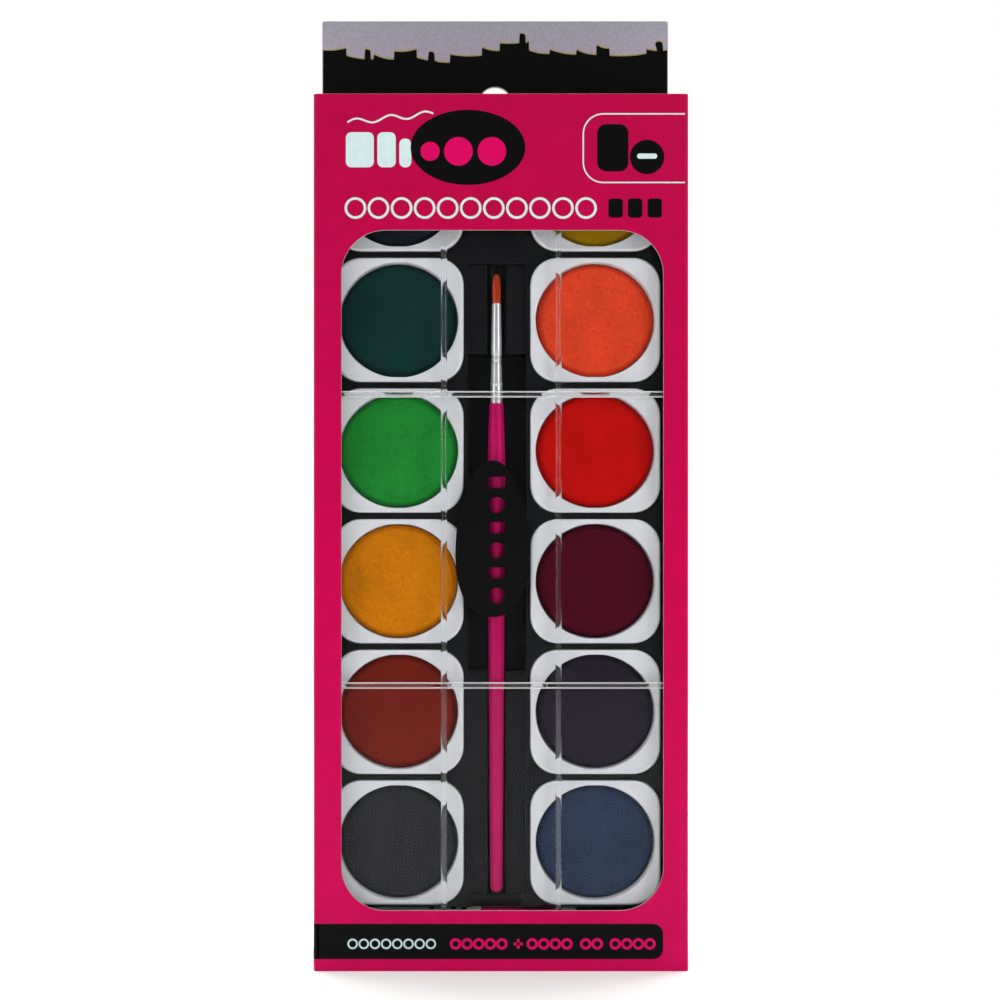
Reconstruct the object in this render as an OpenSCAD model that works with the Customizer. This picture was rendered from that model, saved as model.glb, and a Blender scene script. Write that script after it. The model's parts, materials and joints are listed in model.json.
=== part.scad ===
// Boxed watercolor pan set.
// A board hanging carton with a window holds two stacked paint cases. Each case has a tray of
// twelve square pans and a clear lid that slides lengthwise in the tray's side rails. The
// front case also holds a brush and a small tube of paint.
// +Z runs up the long axis, the carton's front faces -Y, +X is to the right.
// The origin is the middle of the footprint that the carton stands on.

/* [Carton] */
// Outer width of the carton
carton_w = 94; // [92:0.5:100]
// Outer depth of the carton
carton_d = 30; // [30:0.5:36]
// Height of the carton up to the header's crease
carton_h = 220; // [220:1:230]
// Thickness of the board
board_t = 0.5; // [0.3:0.1:0.5]
// Gap between the floor and the closed bottom flap
floor_gap = 0.3; // [0.2:0.1:0.4]

/* [Header] */
// Width of the header above the carton
header_w = 92.6; // [80:0.1:93]
// Sideways offset of the header
header_x = -0.6; // [-0.7:0.1:0.7]
// Height of the header
header_h = 27; // [22:0.5:28]
// Gap at the header's crease
crease_gap = 0.3; // [0.2:0.1:0.5]
// Radius of the hang hole
hang_r = 4.3; // [3:0.1:6]
// Height of the hang hole's centre above the carton
hang_up = 5.3; // [5:0.1:12]

/* [Window] */
// Width of the window in the front panel
window_w = 80.7; // [70:0.1:82]
// Height of the window
window_h = 170.5; // [150:0.5:176]
// Corner radius of the window
window_r = 11; // [6:0.5:14]
// Sideways offset of the window
window_x = 0.35; // [-1:0.05:1]
// Height of the window's centre
window_z = 100.5; // [98:0.25:104]

/* [Bottom closure] */
// Depth of the bottom flap, from its crease to its tongue's outer face
flap_reach = 28.5; // [26:0.1:28.5]
// Height of the tuck tongue
tongue_h = 4; // [2:0.5:4]
// Length of each dust flap
dust_l = 20; // [12:1:20]

/* [Case] */
// Width of a paint case
case_w = 90.6; // [90:0.1:92]
// Depth of a paint case
case_d = 13.7; // [13.5:0.1:13.8]
// Length of a paint case
case_h = 216; // [215:0.5:217]
// Sideways offset of the cases in the carton
case_x = -0.9; // [-1:0.1:1]
// Height of the cases' lower end
case_z = 1.8; // [1.7:0.1:2]
// Thickness of the tray's floor
tray_floor = 1; // [0.8:0.1:1.2]

/* [Lid] */
// Thickness of the clear sheet
lid_t = 0.8; // [0.6:0.1:0.8]
// Height of the ribs on the sheet
rib_h = 0.4; // [0.2:0.1:0.5]
// Width of the cross ribs
rib_w = 1.5; // [1:0.1:2]
// Distance of the long ribs from the middle
rib_x = 14.4; // [13:0.1:16]
// Width of the long ribs
long_rib_w = 2.9; // [1:0.1:3.2]

/* [Pans] */
// Pans in one column
rows = 6; // [6:1:6]
// Width of a pan
pan_w = 32.9; // [31.5:0.1:33]
// Height of a pan
pan_h = 31.4; // [31.2:0.1:31.6]
// Corner radius of a pan
pan_r = 6.9; // [5:0.1:8]
// Distance from one row to the next
row_pitch = 33.05; // [33:0.01:33.1]
// Distance of a column from the middle
column_x = 24.9; // [24.8:0.1:25]
// Height of the lowest row's centre in the case
first_row = 29.8; // [29.7:0.1:29.9]
// Radius of the round well in a pan
well_r = 14.7; // [14:0.1:14.8]
// Depth of the well
well_depth = 6; // [4:0.5:6.5]
// How far a cake's face lies below its pan's rim
cake_drop = 1.8; // [1:0.1:2.5]

/* [Brush] */
// Length of the brush from handle end to tip
brush_l = 156.7; // [150:0.1:157]
// Largest radius of the handle
handle_r = 2.25; // [2:0.05:2.3]

/* [Tube] */
// Radius of the paint tube
tube_r = 5.3; // [4.5:0.1:5.3]
// Length of the tube's body
tube_l = 50; // [40:1:52]

/* [Hidden] */
$fn = 64;
fit = 0.15;               // clearance round a piece that lies in its place
through = 1;              // how far a cut runs past a face

// carton planes
front_y = -carton_d / 2;
back_y = carton_d / 2;
side_x = carton_w / 2;
inner_front = front_y + board_t;
inner_back = back_y - board_t;
flap_top = floor_gap + board_t;

// places of the two cases
front_case_y = inner_front + 0.2;
rear_case_y = front_case_y + case_d + 0.2;

// case section, measured back from the case's own front face
lip_t = 0.7;              // thickness of the rails' front lips
slot_d = 1;               // depth of the slot that the lid slides in
rail_w = 0.8;             // wall outside the slot
lip_reach = 2.3;          // how far the rails' lips reach in
end_wall = 1.2;           // wall at the case's lower end
lid_y = lip_t + 0.1;
lid_half = case_w / 2 - rail_w - 0.2;
ledge_y = lip_t + slot_d;
pan_y = 2.8;              // rim of the pans
web_y = 3.3;              // front edge of the webs between the pans
floor_y = case_d - tray_floor;
well_inset = 3.4;         // ledge that the recess for the pans leaves along each side
pan_d = floor_y - pan_y - 0.3;
skirt_w = 1.2;            // wall of a pan under its well
well_floor = 1.2;         // thickness under the cake

// brush trough and tube bay, in the case's own frame
trough_w = 14.6;
trough_z0 = 16.6;
trough_z1 = 176.2;
trough_y = 4.3;           // shelf of the trough, level with the brush's axis
finger_z0 = 73;           // finger recess under the brush
finger_z1 = 153.5;
finger_y = 12;
bay_w = 80;
bay_h = 12.2;
notch_w = 13;             // thumb notch over the tube
notch_top = 15.6;
brush_x = -0.1;
brush_z = 17;             // end of the handle
tube_y = 7.1;
tube_z = end_wall + bay_h / 2;
tube_swell = 0.6;         // half of what the body is taller than it is deep
tube_x1 = 20;             // shoulder end of the body
tube_x0 = tube_x1 - tube_l;
crimp_l = 3.5;
crimp_h = 12;
cap_x = 23.6;             // open end of the cap
cap_l = 10;
cap_r = 4.2;
neck_r = 2.4;

label_w = 18.4;
label_h = 39.4;
label_x = -1.3;
label_z = 106.6;
label_t = 0.1;
rib_zs = [69.7, 143];     // cross ribs of the lid
thumb_zs = [202, 205, 208];

FRONT_PANS = [for (c = ["left", "right"], r = [1 : rows]) str("front_pan_", c, "_", r)];
FRONT_CAKES = [for (c = ["left", "right"], r = [1 : rows]) str("front_cake_", c, "_", r)];

board_pink = [0.78, 0.07, 0.33];
print_black = [0.05, 0.05, 0.06];
board_grey = [0.62, 0.6, 0.58];
sky_lilac = [0.62, 0.59, 0.66];
pan_white = [0.86, 0.87, 0.88];
clear_blue = [0.8, 0.88, 0.92, 0.35];
handle_pink = [0.72, 0.12, 0.4];

// Colours of the cakes in each column, from the bottom row up
left_paints = [[0.12, 0.12, 0.12], [0.4, 0.1, 0.06], [0.8, 0.5, 0.05],
               [0.05, 0.45, 0.1], [0.06, 0.17, 0.17], [0.17, 0.18, 0.22]];
right_paints = [[0.12, 0.2, 0.3], [0.15, 0.12, 0.2], [0.3, 0.05, 0.15],
                [0.75, 0.06, 0.06], [0.88, 0.28, 0.14], [0.72, 0.56, 0.06]];

// ---- shared outlines ----

// Rectangle with round corners, centred
module rounded_rect(w, h, r) {
    square([w - 2 * r, h], center = true);
    square([w, h - 2 * r], center = true);
    for (x = [-1, 1], y = [-1, 1])
        translate([x * (w / 2 - r), y * (h / 2 - r)]) circle(r);
}

// Plate with its front face at y, from an outline drawn in X and Z
module upright(y, t) {
    translate([0, y + t, 0]) rotate([90, 0, 0]) linear_extrude(t) children();
}

// Turns a profile about a vertical axis at x, y
module turned(x, y, points) {
    translate([x, y, 0]) rotate_extrude() polygon(points);
}

// ---- carton ----

module front_panel() {
    color(board_pink) upright(front_y, board_t) difference() {
        translate([-side_x, 0]) square([carton_w, carton_h]);
        translate([window_x, window_z]) rounded_rect(window_w, window_h, window_r);
    }
}

module back_panel() {
    color(board_pink) upright(inner_back, board_t)
        translate([-side_x, 0]) square([carton_w, carton_h]);
}

module side_panel(side) {
    color(board_pink) translate([side * (side_x - board_t / 2), 0, carton_h / 2])
        cube([board_t, carton_d - 2 * board_t, carton_h], center = true);
}

// Inner flap that glues the back panel to the right side
module glue_flap() {
    flap_w = 11;
    inset = 6;
    color(board_grey) translate([side_x - 2 * board_t, inner_back - flap_w, inset])
        cube([board_t, flap_w, carton_h - 2 * inset]);
}

// One of the header's two glued layers; layer 0 is the printed one in front
module header_layer(layer) {
    y = back_y - (2 - layer) * board_t;
    z0 = carton_h + crease_gap;
    color(layer == 0 ? sky_lilac : board_grey) upright(y, board_t) difference() {
        translate([header_x - header_w / 2, z0]) square([header_w, header_h]);
        translate([header_x, carton_h + hang_up]) circle(hang_r);
    }
}

// Closing panel under the carton, creased along the front edge
module bottom_flap() {
    start = 0.4;
    color(print_black) translate([-side_x + board_t + 0.2, inner_front + start, floor_gap])
        cube([carton_w - 2 * board_t - 0.4, flap_reach - start, board_t]);
}

module bottom_tongue() {
    tongue_w = carton_w - 12;
    color(print_black)
        translate([-tongue_w / 2, inner_front + flap_reach - board_t, flap_top])
            cube([tongue_w, board_t, tongue_h]);
}

// Dust flap over the closing panel; it narrows towards the front, clear of the panel's swing
module dust_flap(side) {
    root = 0.6;
    color(board_grey) translate([side * (side_x - board_t), inner_front, flap_top + 0.2])
        scale([-side, 1, 1]) linear_extrude(board_t)
            polygon([[root, 3], [5, 3], [dust_l, 12], [dust_l, 26], [root, 26]]);
}

// ---- paint cases ----

// Height of a row's centre in the case; row 1 is the top one
function row_z(row) = first_row + (rows - row) * row_pitch;

module tray() {
    half = case_w / 2;
    difference() {
        translate([-half, 0, 0]) cube([case_w, case_d, case_h]);
        // slot for the lid, open at the top end
        translate([-half + rail_w, lip_t, end_wall])
            cube([case_w - 2 * rail_w, slot_d, case_h]);
        translate([-half + lip_reach, -through, end_wall])
            cube([case_w - 2 * lip_reach, lip_t + 2 * through, case_h]);
        // recess over the webs
        translate([-half + well_inset, 0, end_wall])
            cube([case_w - 2 * well_inset, web_y, case_h - 2 * end_wall]);
        pockets();
        brush_trough();
        tube_bay();
    }
}

module pockets() {
    for (side = [-1, 1], row = [1 : rows])
        translate([side * column_x, 0, row_z(row)]) upright(0, floor_y)
            rounded_rect(pan_w + 2 * fit, pan_h + 2 * fit, pan_r + fit);
}

module brush_trough() {
    translate([-trough_w / 2, 0, trough_z0]) cube([trough_w, trough_y, trough_z1 - trough_z0]);
    translate([brush_x, trough_y, trough_z0])
        cylinder(r = handle_r + fit, h = trough_z1 - trough_z0);
    translate([-trough_w / 2, 0, finger_z0]) cube([trough_w, finger_y, finger_z1 - finger_z0]);
}

module tube_bay() {
    translate([-bay_w / 2, 0, end_wall]) cube([bay_w, floor_y, bay_h]);
    translate([-notch_w / 2, 0, end_wall]) cube([notch_w, floor_y, notch_top - end_wall]);
}

// White pan with a round well in front and a hollow skirt behind
module pan() {
    skirt_d = pan_d - well_depth - well_floor;
    difference() {
        upright(pan_y, pan_d) rounded_rect(pan_w, pan_h, pan_r);
        translate([0, pan_y + well_depth, 0]) rotate([90, 0, 0])
            cylinder(r = well_r, h = well_depth + through);
        upright(pan_y + pan_d - skirt_d, skirt_d + through)
            rounded_rect(pan_w - 2 * skirt_w, pan_h - 2 * skirt_w, pan_r - skirt_w);
    }
}

module cake() {
    translate([0, pan_y + well_depth, 0]) rotate([90, 0, 0])
        cylinder(r = well_r - 0.1, h = well_depth - cake_drop);
}

module lid() {
    length = case_h - end_wall - 0.2;
    rib_y = lid_y - rib_h;
    cross_w = case_w - 2 * lip_reach - 1;
    translate([-lid_half, lid_y, end_wall + 0.2]) cube([2 * lid_half, lid_t, length]);
    for (side = [-1, 1])
        translate([side * rib_x - long_rib_w / 2, rib_y, end_wall + 1])
            cube([long_rib_w, rib_h, length - 12]);
    for (z = rib_zs)
        translate([-cross_w / 2, rib_y, z - rib_w / 2]) cube([cross_w, rib_h, rib_w]);
    for (z = thumb_zs)
        translate([-10, rib_y, z - rib_w / 2]) cube([20, rib_h, rib_w]);
}

// Puts a piece drawn in a case's own frame into the carton
module in_case(y) {
    translate([case_x, y, case_z]) children();
}

module front_tray() { color(print_black) in_case(front_case_y) tray(); }
module rear_tray() { color(print_black) in_case(rear_case_y) tray(); }
module front_lid() { color(clear_blue) in_case(front_case_y) lid(); }
module rear_lid() { color(clear_blue) in_case(rear_case_y) lid(); }

// Oval label on the front lid, between its long ribs
module lid_label() {
    color(print_black) in_case(front_case_y) translate([label_x, 0, label_z])
        upright(lid_y - label_t, label_t) rounded_rect(label_w, label_h, label_w / 2 - 0.01);
}

module front_pan(side, row) {
    color(pan_white) in_case(front_case_y) translate([side * column_x, 0, row_z(row)]) pan();
}

module front_cake(side, row) {
    paints = side < 0 ? left_paints : right_paints;
    color(paints[rows - row]) in_case(front_case_y)
        translate([side * column_x, 0, row_z(row)]) cake();
}

module rear_pans() {
    color(pan_white) in_case(rear_case_y)
        for (side = [-1, 1], row = [1 : rows])
            translate([side * column_x, 0, row_z(row)]) pan();
}

module rear_cakes() {
    color(right_paints[0]) in_case(rear_case_y)
        for (side = [-1, 1], row = [1 : rows])
            translate([side * column_x, 0, row_z(row)]) cake();
}

// ---- brush ----

ferrule_z0 = brush_z + brush_l - 32.1;
ferrule_z1 = brush_z + brush_l - 7.5;
ferrule_r0 = 1.5;
ferrule_r1 = 1.12;
peg_r = 1;
peg_top = ferrule_z0 + 9;

// Turned handle: round end, long taper, belly near the ferrule and a peg inside it
module brush_handle() {
    color(handle_pink) in_case(front_case_y)
        turned(brush_x, trough_y,
               [[0, brush_z], [1, brush_z + 0.25], [1.55, brush_z + 1.4], [1.9, brush_z + 50],
                [handle_r, ferrule_z0 - 26], [handle_r, ferrule_z0 - 13], [1.8, ferrule_z0 - 0.6],
                [1.7, ferrule_z0], [peg_r, ferrule_z0], [peg_r, peg_top], [0, peg_top]]);
}

// Thin metal tube with a rolled crimp groove and a bead
module brush_ferrule() {
    crimp_z = ferrule_z0 + 10.5;
    bead_z = ferrule_z0 + 4.3;
    wall = 0.2;
    color("silver") in_case(front_case_y)
        turned(brush_x, trough_y,
               [[ferrule_r0, ferrule_z0], [ferrule_r0, bead_z - 0.4], [ferrule_r0 + 0.15, bead_z],
                [ferrule_r0, bead_z + 0.4], [1.4, crimp_z - 0.5], [1.28, crimp_z],
                [1.38, crimp_z + 0.5], [ferrule_r1, ferrule_z1], [ferrule_r1 - wall, ferrule_z1],
                [peg_r + 0.05, peg_top], [peg_r + 0.05, ferrule_z0]]);
}

module brush_bristles() {
    hidden = 6;
    color([0.62, 0.3, 0.08]) in_case(front_case_y)
        turned(brush_x, trough_y,
               [[0, ferrule_z1 - hidden], [0.82, ferrule_z1 - hidden], [0.82, ferrule_z1],
                [1.08, ferrule_z1 + 1.8], [1.02, ferrule_z1 + 5.2], [0.75, brush_z + brush_l - 0.6],
                [0.3, brush_z + brush_l], [0, brush_z + brush_l]]);
}

// ---- tube of paint, lying across the lower end of the front case ----

module in_bay() {
    in_case(front_case_y) translate([0, tube_y, tube_z]) children();
}

// Slice of the tube's body at x
module tube_slice(x) {
    for (z = [-tube_swell, tube_swell])
        translate([x, 0, z]) rotate([0, 90, 0]) cylinder(r = tube_r, h = 0.1, $fn = 32);
}

module tube_body() {
    color("white") in_bay() {
        hull() {
            tube_slice(tube_x1 - 0.1);
            tube_slice(tube_x0 + tube_l / 2);
        }
        hull() {
            tube_slice(tube_x0 + tube_l / 2);
            translate([tube_x0, -0.5, -crimp_h / 2]) cube([0.1, 1, crimp_h]);
        }
    }
}

module tube_crimp() {
    color("white") in_bay()
        translate([tube_x0 - crimp_l, -0.4, -crimp_h / 2]) cube([crimp_l, 0.8, crimp_h]);
}

// Shoulder and neck
module tube_nozzle() {
    shoulder_l = 3;
    neck_l = 6;
    color("white") in_bay() translate([tube_x1, 0, 0]) rotate([0, 90, 0]) rotate_extrude()
        polygon([[0, 0], [tube_r - 0.4, 0], [neck_r, shoulder_l],
                 [neck_r, shoulder_l + neck_l], [0, shoulder_l + neck_l]]);
}

module tube_cap() {
    grooves = 16;
    bore_l = 7;
    color("white") in_bay() translate([cap_x, 0, 0]) rotate([0, 90, 0]) difference() {
        cylinder(r = cap_r, h = cap_l);
        translate([0, 0, -through]) cylinder(r = neck_r + 0.08, h = bore_l + through);
        for (i = [0 : grooves - 1]) rotate(i * 360 / grooves)
            translate([cap_r + 0.25, 0, 1]) cylinder(r = 0.45, h = cap_l, $fn = 16);
    }
}

// ---- nodes ----

front_panel();
side_panel(-1);  // left_panel
side_panel(1);  // right_panel
back_panel();
glue_flap();
header_layer(0);  // header_front_layer
header_layer(1);  // header_back_layer
bottom_flap();
bottom_tongue();
dust_flap(-1);  // left_dust_flap
dust_flap(1);  // right_dust_flap
front_tray();
front_lid();
lid_label();
brush_handle();
brush_ferrule();
brush_bristles();
tube_body();
tube_crimp();
tube_nozzle();
tube_cap();
rear_tray();
rear_pans();
rear_cakes();
rear_lid();
for (i = [0 : 2 * rows - 1]) {
    front_pan(i < rows ? -1 : 1, i % rows + 1);
    front_cake(i < rows ? -1 : 1, i % rows + 1);
}
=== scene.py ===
"""Looks of the boxed watercolor pan set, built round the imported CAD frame. Metres, +Z up, front at -Y."""
import json
import math
import random

import bmesh
import bpy
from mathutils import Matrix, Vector, noise


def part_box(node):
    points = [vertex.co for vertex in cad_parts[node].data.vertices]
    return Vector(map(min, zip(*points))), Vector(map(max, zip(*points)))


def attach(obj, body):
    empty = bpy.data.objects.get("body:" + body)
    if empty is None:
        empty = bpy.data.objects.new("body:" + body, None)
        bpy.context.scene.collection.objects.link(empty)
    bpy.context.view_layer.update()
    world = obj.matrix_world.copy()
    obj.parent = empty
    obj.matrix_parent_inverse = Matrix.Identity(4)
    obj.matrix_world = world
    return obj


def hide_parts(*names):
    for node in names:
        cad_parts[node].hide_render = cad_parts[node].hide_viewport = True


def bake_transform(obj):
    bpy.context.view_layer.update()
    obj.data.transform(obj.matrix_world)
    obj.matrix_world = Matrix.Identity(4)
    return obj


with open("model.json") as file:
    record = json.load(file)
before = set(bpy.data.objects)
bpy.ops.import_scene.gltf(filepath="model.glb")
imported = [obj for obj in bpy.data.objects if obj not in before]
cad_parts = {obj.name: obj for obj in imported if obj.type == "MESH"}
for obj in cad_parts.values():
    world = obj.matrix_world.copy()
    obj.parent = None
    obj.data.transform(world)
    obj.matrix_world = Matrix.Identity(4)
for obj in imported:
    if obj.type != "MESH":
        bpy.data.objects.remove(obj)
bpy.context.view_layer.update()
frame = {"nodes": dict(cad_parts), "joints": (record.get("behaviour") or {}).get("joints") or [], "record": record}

MM = 0.001


# ---------------------------------------------------------------- places taken from the frame

def corners(node):
    low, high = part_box(node)
    return Vector(low), Vector(high)


def centre_and_half(low, high):
    """Centre and half size of a box."""
    return (low + high) / 2, (high - low) / 2


def named(items, name):
    return next(item for item in items if item["name"] == name)


panel_low, panel_high = corners("front_panel")
header_low, header_high = corners("header_front_layer")
CARTON_W = panel_high.x - panel_low.x
CARTON_H = panel_high.z
FRONT_Y = panel_low.y
BACK_Y = corners("back_panel")[1].y
BOARD = panel_high.y - panel_low.y
FOLD = 0.0009                            # outer radius of the carton's folds
HOLE = named(frame["record"]["mounts"], "hang_hole")
HOLE_R = HOLE["dims"]["r_mm"] * MM
HOLE_X, _, HOLE_Z = HOLE["pos_m"]
PLACES = [(side, row) for side in ("left", "right") for row in range(1, 7)]


# ---------------------------------------------------------------- camera, floor and lights

def make_camera():
    """Straight on, a little left of the carton's middle, with the frame shifted to hold the header."""
    data = bpy.data.cameras.new("camera")
    data.lens = 60.33
    data.sensor_width = 36
    data.shift_x = 0.056
    data.shift_y = 0.05
    data.clip_start = 0.01
    camera = bpy.data.objects.new("camera", data)
    camera.location = (-0.0143, FRONT_Y - 0.42, 0.1056)
    camera.rotation_euler = (math.radians(90), 0, 0)
    bpy.context.collection.objects.link(camera)
    bpy.context.scene.camera = camera


def area_light(name, place, aim, size, power):
    data = bpy.data.lights.new(name, "AREA")
    data.shape = "RECTANGLE"
    data.size, data.size_y = size
    data.energy = power
    lamp = bpy.data.objects.new(name, data)
    lamp.location = place
    lamp.rotation_euler = (Vector(aim) - Vector(place)).to_track_quat("-Z", "Y").to_euler()
    bpy.context.collection.objects.link(lamp)


def make_studio():
    """Overhead softbox for the floor, softboxes at both sides, one behind, and one for the backdrop."""
    centre = (0, 0, 0.12)
    area_light("overhead", (0, -0.15, 1.35), (0, 0, 0), (1.4, 1.2), 17)
    area_light("key", (0.75, -0.7, 0.45), centre, (0.35, 0.7), 3.2)
    area_light("fill", (-0.8, -0.6, 0.35), centre, (0.4, 0.8), 2.6)
    area_light("rim", (0.1, 0.8, 0.7), centre, (0.9, 0.4), 1.6)
    area_light("backdrop", (0, 0.45, 1.4), (0, 1.35, 0.35), (2.2, 0.5), 34)
    bpy.context.scene.view_settings.view_transform = "Standard"
    world = bpy.data.worlds.new("studio")
    bpy.context.scene.world = world
    world.use_nodes = True
    tree = world.node_tree
    shade = tree.nodes["Background"]
    shade.inputs["Color"].default_value = (1, 1, 1, 1)
    tree.links.new(remap(tree, camera_ray(tree), To_Min=0.22, To_Max=1), shade.inputs["Strength"])


def make_floor():
    """Pale floor that curves up far behind and turns plain white away from the object."""
    half_width, front, turn_y, turn_r, top = 1.6, -1.2, 0.9, 0.5, 1.6
    outline = [(front, 0)] + arc(turn_y, turn_r, turn_r, -90, 0, 16) + [(turn_y + turn_r, top)]
    mesh = bmesh.new()
    rows = [[mesh.verts.new((x, y, z)) for y, z in outline] for x in (-half_width, half_width)]
    for i in range(len(outline) - 1):
        mesh.faces.new((rows[0][i], rows[1][i], rows[1][i + 1], rows[0][i + 1]))
    floor = new_object("studio_floor", mesh, closed=False)
    for face in floor.data.polygons:
        face.use_smooth = True
    material, tree, shader = new_material("floor_paper", (0.9, 0.9, 0.9), 0.7)
    add_bump(tree, shader, noise_node(tree, 900, 2), 0.03, 0.0002)
    away = add_node(tree, "VectorMath", object_coords(tree), operation="LENGTH").outputs["Value"]
    fade = remap(tree, away, From_Min=0.3, From_Max=0.75)
    seen = add_node(tree, "Math", fade, camera_ray(tree), operation="MULTIPLY").outputs["Value"]
    blank = add_node(tree, "Emission", Color=(1, 1, 1, 1)).outputs["Emission"]
    mix_shaders(tree, seen, shader.outputs["BSDF"], blank)
    floor.data.materials.append(material)


# ---------------------------------------------------------------- material helpers

def new_material(name, colour, roughness, **sockets):
    material = bpy.data.materials.new(name)
    material.use_nodes = True
    tree = material.node_tree
    shader = tree.nodes["Principled BSDF"]
    shader.inputs["Base Color"].default_value = (*colour, 1)
    shader.inputs["Roughness"].default_value = roughness
    for key, value in sockets.items():
        shader.inputs[key.replace("_", " ")].default_value = value
    material.diffuse_color = (*colour, 1)
    return material, tree, shader


def add_node(tree, kind, *ordered, operation=None, **named_values):
    """New shader node; each value is a constant or another node's output."""
    node = tree.nodes.new("ShaderNode" + kind)
    if operation:
        node.operation = operation
    sockets = [(node.inputs[i], value) for i, value in enumerate(ordered)]
    sockets += [(node.inputs[key.replace("_", " ")], value) for key, value in named_values.items()]
    for socket, value in sockets:
        if isinstance(value, bpy.types.NodeSocket):
            tree.links.new(value, socket)
        else:
            socket.default_value = value
    return node


def remap(tree, value, **ends):
    return add_node(tree, "MapRange", Value=value, **ends).outputs["Result"]


def camera_ray(tree):
    return add_node(tree, "LightPath").outputs["Is Camera Ray"]


def mix_shaders(tree, share, first, second):
    mix = add_node(tree, "MixShader", share, first, second)
    tree.links.new(mix.outputs["Shader"], tree.nodes["Material Output"].inputs["Surface"])


def object_coords(tree, stretch=(1, 1, 1)):
    coords = add_node(tree, "TexCoord").outputs["Object"]
    return add_node(tree, "Mapping", Vector=coords, Scale=stretch).outputs["Vector"]


def height_share(tree, low, high):
    """From 0 at the low height to 1 at the high one."""
    split = add_node(tree, "SeparateXYZ", Vector=object_coords(tree))
    return remap(tree, split.outputs["Z"], From_Min=low, From_Max=high)


def noise_node(tree, scale, detail=3, stretch=(1, 1, 1), rough=0.5):
    return add_node(tree, "TexNoise", Vector=object_coords(tree, stretch), Scale=scale,
                    Detail=detail, Roughness=rough).outputs["Fac"]


def add_bump(tree, shader, height, strength, distance):
    bump = add_node(tree, "Bump", Height=height, Strength=strength, Distance=distance)
    tree.links.new(bump.outputs["Normal"], shader.inputs["Normal"])


def ramp(tree, value, stops):
    node = tree.nodes.new("ShaderNodeValToRGB")
    element = node.color_ramp.elements
    while len(element) < len(stops):
        element.new(0.5)
    for item, (place, colour) in zip(element, stops):
        item.position = place
        item.color = (*colour, 1)
    tree.links.new(value, node.inputs["Fac"])
    return node.outputs["Color"]


def set_roughness(tree, shader, value, low, high):
    tree.links.new(remap(tree, value, To_Min=low, To_Max=high), shader.inputs["Roughness"])


def shades(colour, amount):
    """The colour a little darker, as it is, and a little lighter."""
    return [tuple(min(1, c * k) for c in colour) for k in (1 - amount, 1, 1 + amount)]


def mottled(tree, shader, colour, amount, scale, detail=4):
    dark, plain, light = shades(colour, amount)
    tree.links.new(ramp(tree, noise_node(tree, scale, detail), [(0.3, dark), (0.5, plain), (0.7, light)]),
                   shader.inputs["Base Color"])


def multiply_base(tree, shader, first, second):
    """Base colour from two colours multiplied together."""
    blend = tree.nodes.new("ShaderNodeMix")
    blend.data_type = "RGBA"
    blend.blend_type = "MULTIPLY"
    blend.inputs["Factor"].default_value = 1
    tree.links.new(first, blend.inputs["A"])
    tree.links.new(second, blend.inputs["B"])
    tree.links.new(blend.outputs["Result"], shader.inputs["Base Color"])


def board_fibres(tree, shader, roughest):
    """Relief and uneven gloss of the board's fibres."""
    fibres = noise_node(tree, 1500, 4, (1, 1, 0.45))
    add_bump(tree, shader, fibres, 0.10, 0.00006)
    set_roughness(tree, shader, fibres, 0.3, roughest)


# ---------------------------------------------------------------- materials

def board_material(name, colour):
    """Coated print on board: faint fibre relief and slightly uneven ink."""
    material, tree, shader = new_material(name, colour, 0.42, Coat_Weight=0.04,
                                          Coat_Roughness=0.2, Specular_IOR_Level=0.1)
    mottled(tree, shader, colour, 0.06, 260, 6)
    board_fibres(tree, shader, 0.5)
    return material


def carton_print_shaded_material():
    """Carton ink with painted shade: darker towards the top and brighter low down, after how the light falls."""
    material, tree, shader = new_material("carton_print_shaded", (0.55, 0.001, 0.07), 0.42, Coat_Weight=0.03,
                                          Coat_Roughness=0.2, Specular_IOR_Level=0.05)
    # painted shade: the height ramp darkens the ink towards the top, where less light falls, and keeps it
    # brightest low down
    wide = ramp(tree, height_share(tree, 0, CARTON_H),
                [(0.0, (0.55, 0.001, 0.085)), (0.45, (0.53, 0.0005, 0.068)), (1.0, (0.43, 0.002, 0.055))])
    grain = ramp(tree, noise_node(tree, 240, 6), [(0.3, (0.9, 0.9, 0.9)), (0.7, (1, 1, 1))])
    multiply_base(tree, shader, wide, grain)
    board_fibres(tree, shader, 0.48)
    return material


def core_material():
    """Raw cut edge and inner face of the board."""
    colour = (0.46, 0.43, 0.38)
    material, tree, shader = new_material("board_core", colour, 0.85)
    mottled(tree, shader, colour, 0.12, 700, 5)
    add_bump(tree, shader, noise_node(tree, 2600, 4, (1, 1, 0.3)), 0.3, 0.0001)
    return material


def ink_material(name, colour, roughness=0.4):
    """A printed shape: thin ink with the board's grain showing in the gloss."""
    material, tree, shader = new_material(name, colour, roughness, Coat_Weight=0.02,
                                          Coat_Roughness=0.2, Specular_IOR_Level=0.05)
    mottled(tree, shader, colour, 0.05, 400, 5)
    add_bump(tree, shader, noise_node(tree, 1500, 4, (1, 1, 0.45)), 0.08, 0.00006)
    return material


def sky_material():
    """Header print: lilac-grey sky, lighter low down, with fine speckle."""
    material, tree, shader = new_material("header_sky", (0.4, 0.36, 0.42), 0.45,
                                          Coat_Weight=0.2, Coat_Roughness=0.2)
    wide = ramp(tree, height_share(tree, header_low.z, header_high.z),
                [(0.3, (0.45, 0.36, 0.43)), (0.7, (0.4, 0.34, 0.42)), (1.0, (0.32, 0.32, 0.36))])
    speckle = ramp(tree, noise_node(tree, 2400, 2), [(0.35, (0.82, 0.82, 0.82)), (0.65, (1, 1, 1))])
    multiply_base(tree, shader, wide, speckle)
    add_bump(tree, shader, noise_node(tree, 1500, 4), 0.08, 0.00006)
    return material


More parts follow.
